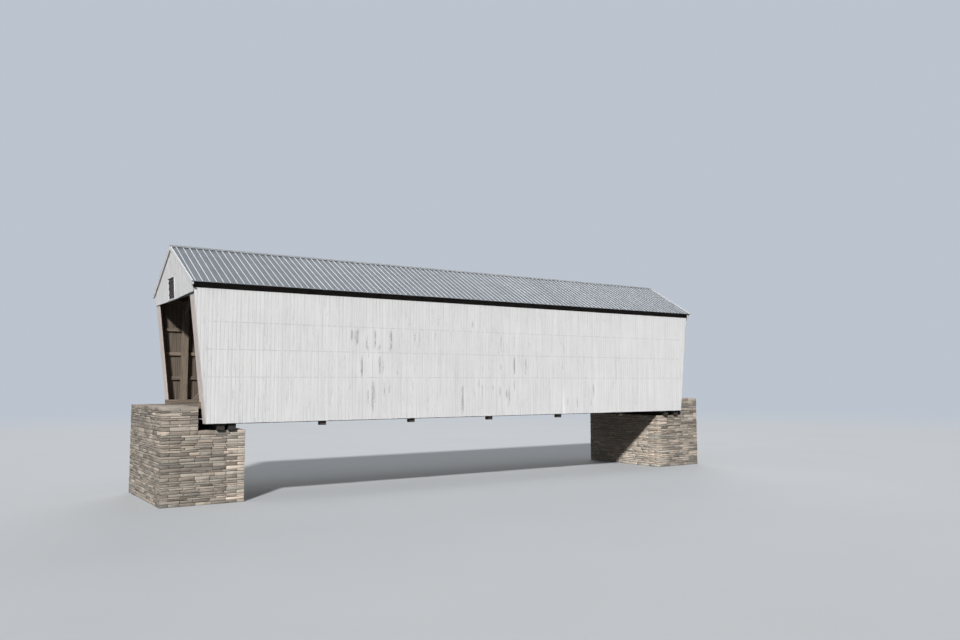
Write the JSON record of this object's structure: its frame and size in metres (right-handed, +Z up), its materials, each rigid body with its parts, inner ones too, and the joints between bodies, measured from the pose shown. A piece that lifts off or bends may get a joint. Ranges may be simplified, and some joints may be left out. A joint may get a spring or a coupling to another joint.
{
  "type": "covered bridge",
  "caption": "Single-span timber truss bridge with white boarded side walls, boarded gables, a ribbed metal roof and two stone abutments.",
  "frame": {"origin": "on the ground at mid-span, midway between the two side walls", "axes": "+X along the roadway, towards the right end in the picture; +Y across the bridge, away from the picture's viewpoint; +Z up"},
  "size_m": [24.9992, 5.5414, 8.7986],
  "materials": {
    "white_boards": "white paint on vertical sawn boards, streaked with grey where it is thin",
    "frame_timber": "bare sawn timber, weathered brown and grey",
    "floor_planks": "bare planks, worn pale by wheels",
    "roof_metal": "galvanised ribbed sheet, dull grey",
    "masonry": "coursed thin-bedded limestone, grey to tan",
    "window_trim": "white painted window trim"
  },
  "bodies": {
    "root": {"left_abutment": "masonry", "right_abutment": "masonry", "left_bed_timbers": "frame_timber", "right_bed_timbers": "frame_timber", "front_bottom_chord": "frame_timber", "back_bottom_chord": "frame_timber", "front_top_chord": "frame_timber", "back_top_chord": "frame_timber", "front_posts": "frame_timber", "back_posts": "frame_timber", "front_braces": "frame_timber", "back_braces": "frame_timber", "front_girts": "frame_timber", "back_girts": "frame_timber", "left_portal_studs": "frame_timber", "right_portal_studs": "frame_timber", "floor_beams": "frame_timber", "deck": "floor_planks", "curbs": "frame_timber", "lower_lateral_braces": "frame_timber", "lower_lateral_counters": "frame_timber", "tie_beams": "frame_timber", "knee_braces": "frame_timber", "upper_lateral_braces": "frame_timber", "upper_lateral_counters": "frame_timber", "front_rafters": "frame_timber", "back_rafters": "frame_timber", "ridge_board": "frame_timber", "front_purlins": "frame_timber", "back_purlins": "frame_timber", "front_roof": "roof_metal", "back_roof": "roof_metal", "ridge_cap": "roof_metal", "front_siding": "white_boards", "back_siding": "white_boards", "left_portal_jambs": "white_boards", "right_portal_jambs": "white_boards", "left_gable": "white_boards", "right_gable": "white_boards", "left_gable_sill": "frame_timber", "right_gable_sill": "frame_timber", "left_rake_boards": "white_boards", "right_rake_boards": "white_boards", "left_window_frame": "window_trim", "right_window_frame": "window_trim"}
  },
  "joints": []
}
